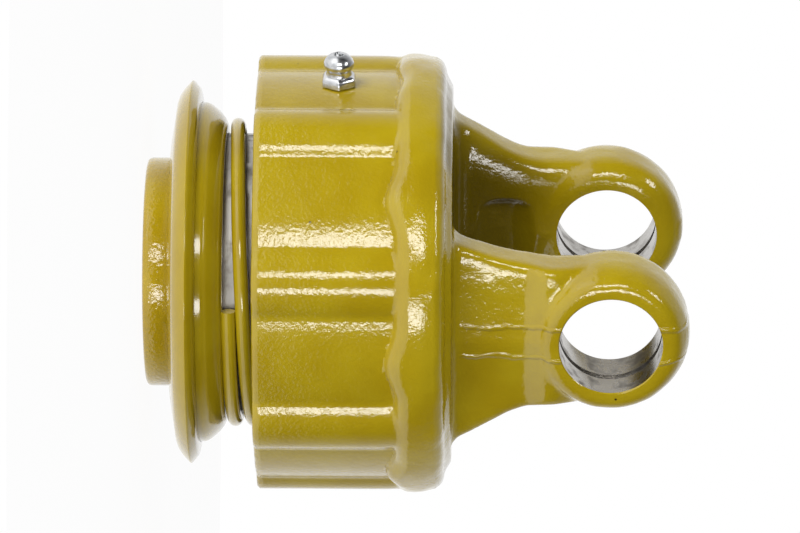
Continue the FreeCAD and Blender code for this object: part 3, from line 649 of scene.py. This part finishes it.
    def arm(self, side: int) -> bpy.types.Object:
        """One arm, drafted both ways from the dies' parting plane, with its root flared."""
        piece = drum(f"arm_{side}", 160, 70)
        for vertex in piece.data.vertices:
            x, y, level = vertex.co / MM
            rim = math.hypot(x, y)
            height = self.arm_low + (self.bore_height - self.arm_low) * (level + 1) / 2
            lip = self.root(height, 1.8)
            inner = self.gap_half - 4.0 * self.root(height, 4.0)
            outer = self.arm_outer(height) + 1.6 * lip
            power = 2 / (self.corner_outside if x > 0 else self.corner_inside)
            across = rim * math.copysign(abs(x) ** power, x)
            along = rim * math.copysign(abs(y) ** power, y)
            flare = self.full_flare if side * y > 0 else self.slim_flare
            aside = (self.arm_width(height, flare) + 1.4 * lip) * along
            thick = (outer - inner) / 2 - self.draft * abs(aside)
            middle = (outer + inner) / 2
            vertex.co = Vector((side * (middle + thick * across), aside, height)) * MM
        return cut_away(turned_out(piece), self.scoop(side))

    def ear_head(self, side: int) -> bpy.types.Object:
        """The round ear about the cross bore, domed to its boss."""
        inner, face, round_off = self.gap_half, self.ear_face, 5.0
        profile = [(0.0, inner), (self.ear - round_off, inner)]
        for tilt in (18, 36, 54, 72, 90):
            turn = math.radians(tilt)
            profile.append((self.ear - round_off + round_off * math.sin(turn),
                            inner + round_off - round_off * math.cos(turn)))
        profile += [(self.ear, face - 6.8), (self.ear - 0.3, face - 4.6), (self.ear - 0.8, face - 3.2),
                    (self.ear - 1.5, face - 1.7), (self.ear - 2.2, face - 0.8), (self.ear - 3.2, face - 0.2),
                    (self.ear - 4.2, face), (0.0, face)]
        piece = lathe(f"ear_{side}", [(radius, side * height) for radius, height in profile], 120)
        return along_x(piece, self.bore_height)

    def machining(self) -> list[bpy.types.Object]:
        """The cutters for everything that is machined: bores, grooves, mouth, cavity and nipple hole."""
        inner, outer = self.groove_span
        reach, edge = self.ear_face + 1, self.ear_face - 0.35
        half = [(self.bore, inner), (self.groove, inner), (self.groove, outer), (self.bore, outer),
                (self.bore, edge), (self.bore + 1.35, reach), (0.0, reach)]
        mirrored = [(radius, -height) for radius, height in reversed(half)]
        bores = along_x(lathe("bore_cutter", mirrored + half, 144), self.bore_height)
        mouth = lathe("mouth_cutter", [
            (0.0, self.front - 1), (self.mouth + 0.8, self.front - 1), (self.mouth + 0.4, self.front + 0.1),
            (self.mouth, self.front + 0.6), (self.mouth, 30.1), (self.mouth + 1.3, 30.1),
            (self.mouth + 1.3, 31.8), (self.mouth, 31.8), (self.mouth, self.seat), (self.land, self.seat),
            (self.land, self.inner_end), (22.2, self.inner_end), (22.2, self.inner_end + 3.9),
            (0.0, self.inner_end + 3.9)])
        notch = block("notch_cutter", (6.0, 11.4, 24.2), (self.land + 1.0, 0.9, 45.9))
        notches = repeated(notch, self.lobes, self.first_lobe)
        hole = rod("nipple_hole_cutter", 3.0, 14.0, (math.pi / 2, 0, 0),
                   (0, -(self.radius - 2), self.nipple_height))
        return [bores, mouth, notches, hole]

    def scoop(self, side: int) -> bpy.types.Object:
        """The cutter for the relief at the root of an arm's inner face, a trough along Y."""
        deep, half = 2.4, 6.8
        radius = (half ** 2 + deep ** 2) / (2 * deep)
        trough = lathe(f"scoop_{side}", [
            (0.0, -9.6), (radius - 3.4, -9.6), (radius - 0.6, -7.6), (radius, -6.4), (radius, 6.4),
            (radius - 0.6, 7.6), (radius - 3.4, 9.6), (0.0, 9.6)], 120)
        trough.rotation_euler = (math.pi / 2, 0, 0)
        trough.location = (side * (self.gap_half + deep - radius) * MM, 0, 77.6 * MM)
        return settled(trough)

    def build(self) -> bpy.types.Object:
        """Fuses the rough forging, softens it and machines it."""
        piece = self.shell()
        pick(piece, *[make(side) for side in (1, -1) for make in (self.arm, self.ear_head)])
        bpy.ops.object.join()
        modified(piece, "REMESH", mode="VOXEL", voxel_size=self.voxel * MM, adaptivity=0.0)
        modified(piece, "SMOOTH", factor=0.5, iterations=3)
        self.true_up(piece)
        for tool in self.machining():
            cut_away(piece, tool)
        smooth(piece, 38.0)
        dressed(piece, "housing", Slot.ENAMEL, self.shop.forged, self.shop.bored, self.shop.steel,
                stands_for=["yoke_housing"])
        self.mark_bare(piece)
        return piece

    def true_up(self, piece: bpy.types.Object) -> None:
        """Brings the housing back to its true form and gives the fork its forged unevenness."""
        normals = [vertex.normal.copy() for vertex in piece.data.vertices]
        for vertex, normal in zip(piece.data.vertices, normals):
            x, y, height = vertex.co / MM
            radius = math.hypot(x, y)
            if radius > 43.0 and height < self.shoulder_back + 0.6:
                share = step(height, self.front + 0.3, self.front + 1.0) \
                    * (1 - step(height, self.shoulder_back - 0.8, self.shoulder_back + 0.4))
                angle = math.degrees(math.atan2(y, x)) % 360
                true = self.outside(angle, min(height, self.shoulder_back))
                grow = 1 + (true / radius - 1) * share
                vertex.co.x *= grow
                vertex.co.y *= grow
            elif height > self.shoulder_back:
                place = Vector((x, y, height))
                lump = noise.noise(place * 0.13) + 0.6 * noise.noise(place * 0.33)
                tip = abs(y) < 2.3 and height > self.bore_height + self.ear - 1.2
                vertex.co -= normal * (0.0 if tip else 0.11 + 0.11 * lump) * MM

    def mark_bare(self, piece: bpy.types.Object) -> None:
        """Gives the bores one bare finish and the housing's inside another."""
        for face in piece.data.polygons:
            middle = face.center / MM
            about_bore = math.hypot(middle.y, middle.z - self.bore_height)
            about_shaft = math.hypot(middle.x, middle.y)
            in_groove = self.groove_span[0] - 0.1 < abs(middle.x) < self.groove_span[1] + 0.1
            if about_bore < self.groove + 0.1 and (in_groove or abs(face.normal.x) < 0.4):
                face.material_index = 1
            elif about_shaft < self.mouth + 1.5 and self.front + 0.3 < middle.z < 62.0:
                face.material_index = 2


# --- the hub and its collar ---------------------------------------------------------------------

@dataclass
class Hub:
    """The splined hub: painted lip, bare neck, pawl carrier and nose."""

    shop: Paintshop
    lip: float = 24.75
    neck: float = 30.1
    neck_start: float = 17.1
    carrier: float = 36.2
    minor: float = 14.83
    major: float = 17.45
    slot_width: float = 8.7

    def build(self) -> bpy.types.Object:
        """Turns the hub, broaches its spline and mills its slots."""
        groove = self.lip - 1.5
        piece = lathe("splined_hub", [
            (self.minor, 0.0), (self.lip - 1.1, 0.0), (self.lip - 0.55, 0.15), (self.lip - 0.15, 0.55),
            (self.lip, 1.1), (self.lip, 1.4), (self.lip, 5.4), (groove, 5.4), (groove, 6.35),
            (self.lip, 6.35), (self.lip, self.neck_start), (self.neck, self.neck_start),
            (self.neck, 34.9), (self.carrier, 34.9), (self.carrier, 57.7), (20.0, 57.7), (20.0, 61.1),
            (self.minor, 61.1)])
        spline = block("spline_cutter", (6.0, self.slot_width, 64.0), (self.major - 3, 0, 30.5))
        cut_away(piece, repeated(spline, 6))
        slot = block("pawl_slot_cutter", (12.0, 9.16, 22.9), (25.6 + 6, 0, 46.3))
        cut_away(piece, repeated(slot, 4, 22.5))
        hole = rod("ball_hole_cutter", 4.85, 12.0, (0, math.pi / 2, 0), (22.5, 0, 11.0))
        cut_away(piece, repeated(hole, 3, 30.0))
        bevelled(piece, 0.3, 50, 2)
        smooth(piece)
        dressed(piece, "hub", Slot.ENAMEL, self.shop.lip, self.shop.steel, stands_for=["hub"])
        for face in piece.data.polygons:
            middle = face.center / MM
            about = math.hypot(middle.x, middle.y)
            face.material_index = 1 if middle.z > 15.0 or about < self.major + 0.2 else 0
        return piece


@dataclass
class Collar:
    """The quick-release collar's two pressings and its spring."""

    shop: Paintshop
    wire: float = 1.58
    coil: float = 32.0
    cut_end: float = -10.5
    sweep: int = 840
    stride: int = 8
    travel: float = 4.0
    spring_seat: float = 30.2

    def painted(self, piece: bpy.types.Object, body: str, node: str) -> bpy.types.Object:
        """Smooths and paints a piece that stands for one node."""
        return dressed(smooth(piece, 40), body, Slot.ENAMEL, self.shop.turned, stands_for=[node])

    def flange(self) -> bpy.types.Object:
        """The pressed disc: dished front, pointed rim, lip folded in behind."""
        piece = lathe("pressed_flange", [
            (27.5, 6.55), (28.9, 5.85), (30.0, 5.55), (34.3, 6.3), (37.4, 6.75), (38.6, 7.2), (39.9, 8.1),
            (41.65, 9.75), (41.2, 10.25), (39.9, 11.3), (39.3, 11.5), (36.9, 11.85), (36.9, 10.6),
            (38.7, 10.1), (38.7, 8.5), (34.3, 7.6), (30.0, 6.85), (27.5, 7.85)], 220)
        bevelled(piece, 0.22, 18)
        return self.painted(piece, "collar", "collar_flange")

    def barrel(self) -> bpy.types.Object:
        """The pressed cup behind the disc, with its rounded closed-in end."""
        piece = lathe("pressed_barrel", [
            (35.0, 8.65), (38.4, 8.65), (38.4, 9.9), (36.8, 10.4), (36.8, 12.9), (36.45, 13.7),
            (35.9, 14.45), (35.25, 15.2), (34.5, 16.0), (33.4, 16.85), (32.1, 17.4), (30.2, 17.4),
            (30.2, 15.6), (32.1, 15.6), (33.0, 15.0), (34.3, 13.6), (35.0, 13.15)], 220)
        bevelled(piece, 0.25, 14)
        return self.painted(piece, "collar", "collar_barrel")

    def coil_height(self, angle: float) -> float:
        """The wire's height, angle degrees on from its cut end."""
        keys = [(0, 18.6), (75, 19.35), (170, 19.5), (255, 19.5), (330, 20.9), (360, 21.7), (435, 23.4),
                (560, 26.3), (680, 28.2), (790, 28.4), (840, 28.4)]
        for (here, low), (there, high) in zip(keys, keys[1:]):
            if angle <= there:
                return low + (high - low) * (angle - here) / (there - here)
        return keys[-1][1]

    def spring(self) -> bpy.types.Object:
        """The compression spring, its first turn dead and its end cut square."""
        deselect()
        bpy.ops.curve.primitive_nurbs_path_add()
        piece = named("coil_spring")
        piece.data.splines.clear()
        spline = piece.data.splines.new("NURBS")
        spline.points.add(self.sweep // self.stride)
        for i, point in enumerate(spline.points):
            angle = i * self.stride
            turn = math.radians(self.cut_end + angle)
            point.co = (self.coil * MM * math.cos(turn), self.coil * MM * math.sin(turn),
                        self.coil_height(angle) * MM, 1)
        spline.order_u = 4
        spline.use_endpoint_u = True
        spline.resolution_u = 4
        piece.data.dimensions = "3D"
        piece.data.bevel_depth = self.wire * MM
        piece.data.bevel_resolution = 7
        piece.data.use_fill_caps = True
        pick(piece)
        bpy.ops.object.convert(target="MESH")
        piece = named("coil_spring")
        bpy.ops.object.mode_set(mode="EDIT")
        bpy.ops.mesh.select_all(action="SELECT")
        bpy.ops.mesh.remove_doubles(threshold=MM / 500)
        bpy.ops.mesh.normals_make_consistent(inside=False)
        bpy.ops.object.mode_set(mode="OBJECT")
        self.painted(piece, "hub", "collar_spring")
        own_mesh(piece)
        return piece

    def build(self) -> list[bpy.types.Object]:
        """Makes the collar's pieces."""
        return [self.flange(), self.barrel(), self.spring()]


@dataclass
class Nipple:
    """The M6 grease nipple with its hexagon, cone head and check ball."""

    shop: Paintshop
    height: float = 41.7
    foot: float = 44.6

    def build(self) -> bpy.types.Object:
        """Turns the stem, fits the hexagon and lays the nipple towards -Y."""
        foot = self.foot
        stem = lathe("nipple_stem", [
            (0.9, foot - 7.6), (2.95, foot - 7.6), (2.95, foot + 1.0), (2.75, foot + 2.6),
            (2.62, foot + 3.1), (2.66, foot + 3.5), (2.95, foot + 3.95), (3.2, foot + 4.35),
            (3.25, foot + 4.75), (3.22, foot + 5.2), (3.0, foot + 5.75), (2.6, foot + 6.3),
            (2.1, foot + 6.75), (1.5, foot + 7.05), (1.15, foot + 7.1), (0.95, foot + 6.95),
            (0.9, foot + 6.6)], 72)
        bevelled(stem, 0.1, 40, 2)
        nut = lathe("nipple_hexagon", [
            (2.4, foot + 0.08), (3.95, foot + 0.08), (4.04, foot + 0.3), (4.04, foot + 1.5),
            (3.75, foot + 2.0), (3.3, foot + 2.4), (2.5, foot + 2.6)], 6)
        bevelled(nut, 0.35, 30, 3)
        pick(stem, nut)
        bpy.ops.object.join()
        stem.name = "grease_nipple"
        stem.rotation_euler = (math.pi / 2, 0, 0)
        stem.location = (0, 0, self.height * MM)
        settled(stem)
        return dressed(smooth(stem, 32), "housing", Slot.ZINC, self.shop.zinc,
                       stands_for=["nipple_body"])


def dress_inner_parts(shop: Paintshop) -> None:
    """Gives the CAD nodes that stay their finishes."""
    finishes = {"cover_ring": shop.steel, "spring_seat": shop.steel, "rear_bush": shop.bronze,
                "stop_ring": shop.turned, "nipple_ball": shop.zinc}
    for name, node in NODES.items():
        spring = name.startswith(("pawl_spring", "housing_circlip"))
        finish = finishes.get(name, shop.spring if spring else shop.steel)
        for slot in node.material_slots:
            slot.material = finish


# --- the studio ---------------------------------------------------------------------------------

@dataclass
class Studio:
    """A white tent with softboxes and a small pale floor; the camera is square to the shaft."""

    azimuth: float = -25.6
    distance: float = 1332.0
    lens: float = 276.2
    middle: float = 54.75
    lift: float = 1.37
    tilt: float = 0.69
    roll: float = 0.34
    opening: float = 0.03
    lamp_distance: float = 1.25
    floor_radius: float = 0.4
    floor_white: float = 0.95

    def axes(self) -> tuple[Vector, Vector, Vector]:
        """The camera's right, up and backward directions."""
        turn, tip = math.radians(self.azimuth), math.radians(self.tilt)
        flat = Vector((math.cos(turn), math.sin(turn), 0))
        back = (flat * math.cos(tip) + Vector((0, 0, 1)) * math.sin(tip)).normalized()
        up = Vector((math.sin(turn), -math.cos(turn), 0))
        right = up.cross(back).normalized()
        spin = Matrix.Rotation(math.radians(self.roll), 3, back)
        return spin @ right, spin @ up, back

    def camera(self) -> None:
        """Puts the camera where the shaft lies level, with its fork to the right."""
        right, up, back = self.axes()
        aim = Vector((0, 0, self.middle)) * MM + up * self.lift * MM
        deselect()
        bpy.ops.object.camera_add()
        camera = bpy.context.active_object
        camera.data.sensor_width = 36
        camera.data.lens = self.lens
        camera.data.clip_start, camera.data.clip_end = 0.05, 20
        turn = Matrix((right, up, back)).transposed()
        camera.matrix_world = Matrix.Translation(aim + back * self.distance * MM) @ turn.to_4x4()
        bpy.context.scene.camera = camera

    def softbox(self, name: str, rise: float, aside: float, size: tuple[float, float],
                power: float) -> None:
        """A rectangular lamp that points at the object.

        Args:
            name: The lamp's name.
            rise: Degrees above the camera, as seen from the object.
            aside: Degrees from there towards the fork's end.
            size: Its length along the shaft and its height, in metres.
            power: Its watts.
        """
        right, up, back = self.axes()
        lift, turn = math.radians(rise), math.radians(aside)
        away = (back * math.cos(lift) + up * math.sin(lift)) * math.cos(turn) + right * math.sin(turn)
        along = (right - away * right.dot(away)).normalized()
        deselect()
        bpy.ops.object.light_add(type="AREA")
        lamp = bpy.context.active_object
        lamp.name = name
        lamp.data.shape = "RECTANGLE"
        lamp.data.size, lamp.data.size_y = size
        lamp.data.energy = power
        turned = Matrix((along, away.cross(along), away)).transposed()
        place = Vector((0, 0, self.middle)) * MM + away * self.lamp_distance
        lamp.matrix_world = Matrix.Translation(place) @ turned.to_4x4()

    def white_to_camera(self, tree: bpy.types.NodeTree, other: bpy.types.NodeSocket
                        ) -> bpy.types.NodeSocket:
        """Mixes a plain white in for what the camera, gloss and glass see."""
        path = add_node(tree, "ShaderNodeLightPath")
        seen = add_node(tree, "ShaderNodeMath", {"operation": "MAXIMUM"},
                        {0: path.outputs["Is Camera Ray"], 1: path.outputs["Is Glossy Ray"]})
        seen = add_node(tree, "ShaderNodeMath", {"operation": "MAXIMUM"},
                        {0: seen.outputs[0], 1: path.outputs["Is Transmission Ray"]})
        part = add_node(tree, "ShaderNodeMath", {"operation": "MULTIPLY", 1: self.floor_white},
                        {0: seen.outputs[0]})
        white = add_node(tree, "ShaderNodeEmission", {"Color": (1, 1, 1, 1), "Strength": 1.0})
        return add_node(tree, "ShaderNodeMixShader", {}, {0: part.outputs[0], 1: other,
                                                          2: white.outputs[0]}).outputs[0]

    def world(self) -> None:
        """A white tent that darkens towards the side where the camera stands.

        Camera and transmission rays see plain white in every direction.
        """
        world = bpy.data.worlds.new("light_tent")
        bpy.context.scene.world = world
        world.use_nodes = True
        tree = world.node_tree
        tree.nodes.clear()
        place = add_node(tree, "ShaderNodeTexCoord")
        _, up, back = self.axes()
        dark = (back - up * 0.1).normalized()
        facing = add_node(tree, "ShaderNodeVectorMath", {"operation": "DOT_PRODUCT", 1: dark},
                          {0: place.outputs["Object"]})
        fading = {"From Min": -0.9, "From Max": 0.2, "To Min": 1.0, "To Max": self.opening}
        around = add_node(tree, "ShaderNodeMapRange", fading, {"Value": facing.outputs["Value"]})
        path = add_node(tree, "ShaderNodeLightPath")
        clear = add_node(tree, "ShaderNodeMath", {"operation": "MAXIMUM"},
                         {0: path.outputs["Is Camera Ray"], 1: path.outputs["Is Transmission Ray"]})
        strength = add_node(tree, "ShaderNodeMix", {"data_type": "FLOAT", 3: 1.0},
                            {0: clear.outputs[0], 2: around.outputs[0]})
        light = add_node(tree, "ShaderNodeBackground", {"Color": (1, 1, 1, 1)},
                         {"Strength": strength.outputs[0]})
        add_node(tree, "ShaderNodeOutputWorld", {}, {"Surface": light.outputs[0]})

    def floor(self) -> None:
        """A pale floor that the hub stands on. It lets the lamps beyond its edge shine through."""
        deselect()
        bpy.ops.mesh.primitive_circle_add(vertices=64, radius=self.floor_radius, fill_type="NGON",
                                          location=(0, 0, -0.0002))
        floor = named("floor")
        material = bpy.data.materials.new("pale_floor")
        material.use_nodes = True
        tree = material.node_tree
        tree.nodes.clear()
        matt = add_node(tree, "ShaderNodeBsdfDiffuse", {"Color": linear("#FCFCFC")})
        surface = self.white_to_camera(tree, matt.outputs[0])
        add_node(tree, "ShaderNodeOutputMaterial", {}, {"Surface": surface})
        floor.data.materials.append(material)
        settled(floor)
        floor.visible_shadow = False

    def build(self) -> None:
        """Sets up camera, lamps, tent and floor."""
        self.camera()
        self.softbox("key_softbox", 50.0, -26.0, (0.6, 0.6), 10.5)
        self.softbox("low_softbox", -62.0, -32.0, (0.6, 0.6), 5.0)
        self.softbox("strip_above", 17.0, 4.0, (0.6, 0.22), 4.2)
        self.softbox("strip_below", -23.0, 4.0, (0.6, 0.2), 4.0)
        self.softbox("strip_at_fork_end", 33.0, 52.0, (0.2, 0.4), 2.5)
        self.world()
        self.floor()
        bpy.context.scene.view_settings.view_transform = "Standard"


def main() -> None:
    """Builds every piece in order, then the studio."""
    logging.basicConfig(level=logging.INFO, format="%(name)s %(message)s")
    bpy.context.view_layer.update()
    shop = Paintshop()
    dress_inner_parts(shop)
    Forging(shop).build()
    Hub(shop).build()
    Collar(shop).build()
    Nipple(shop).build()
    Studio().build()


if __name__ == "__main__":
    main()
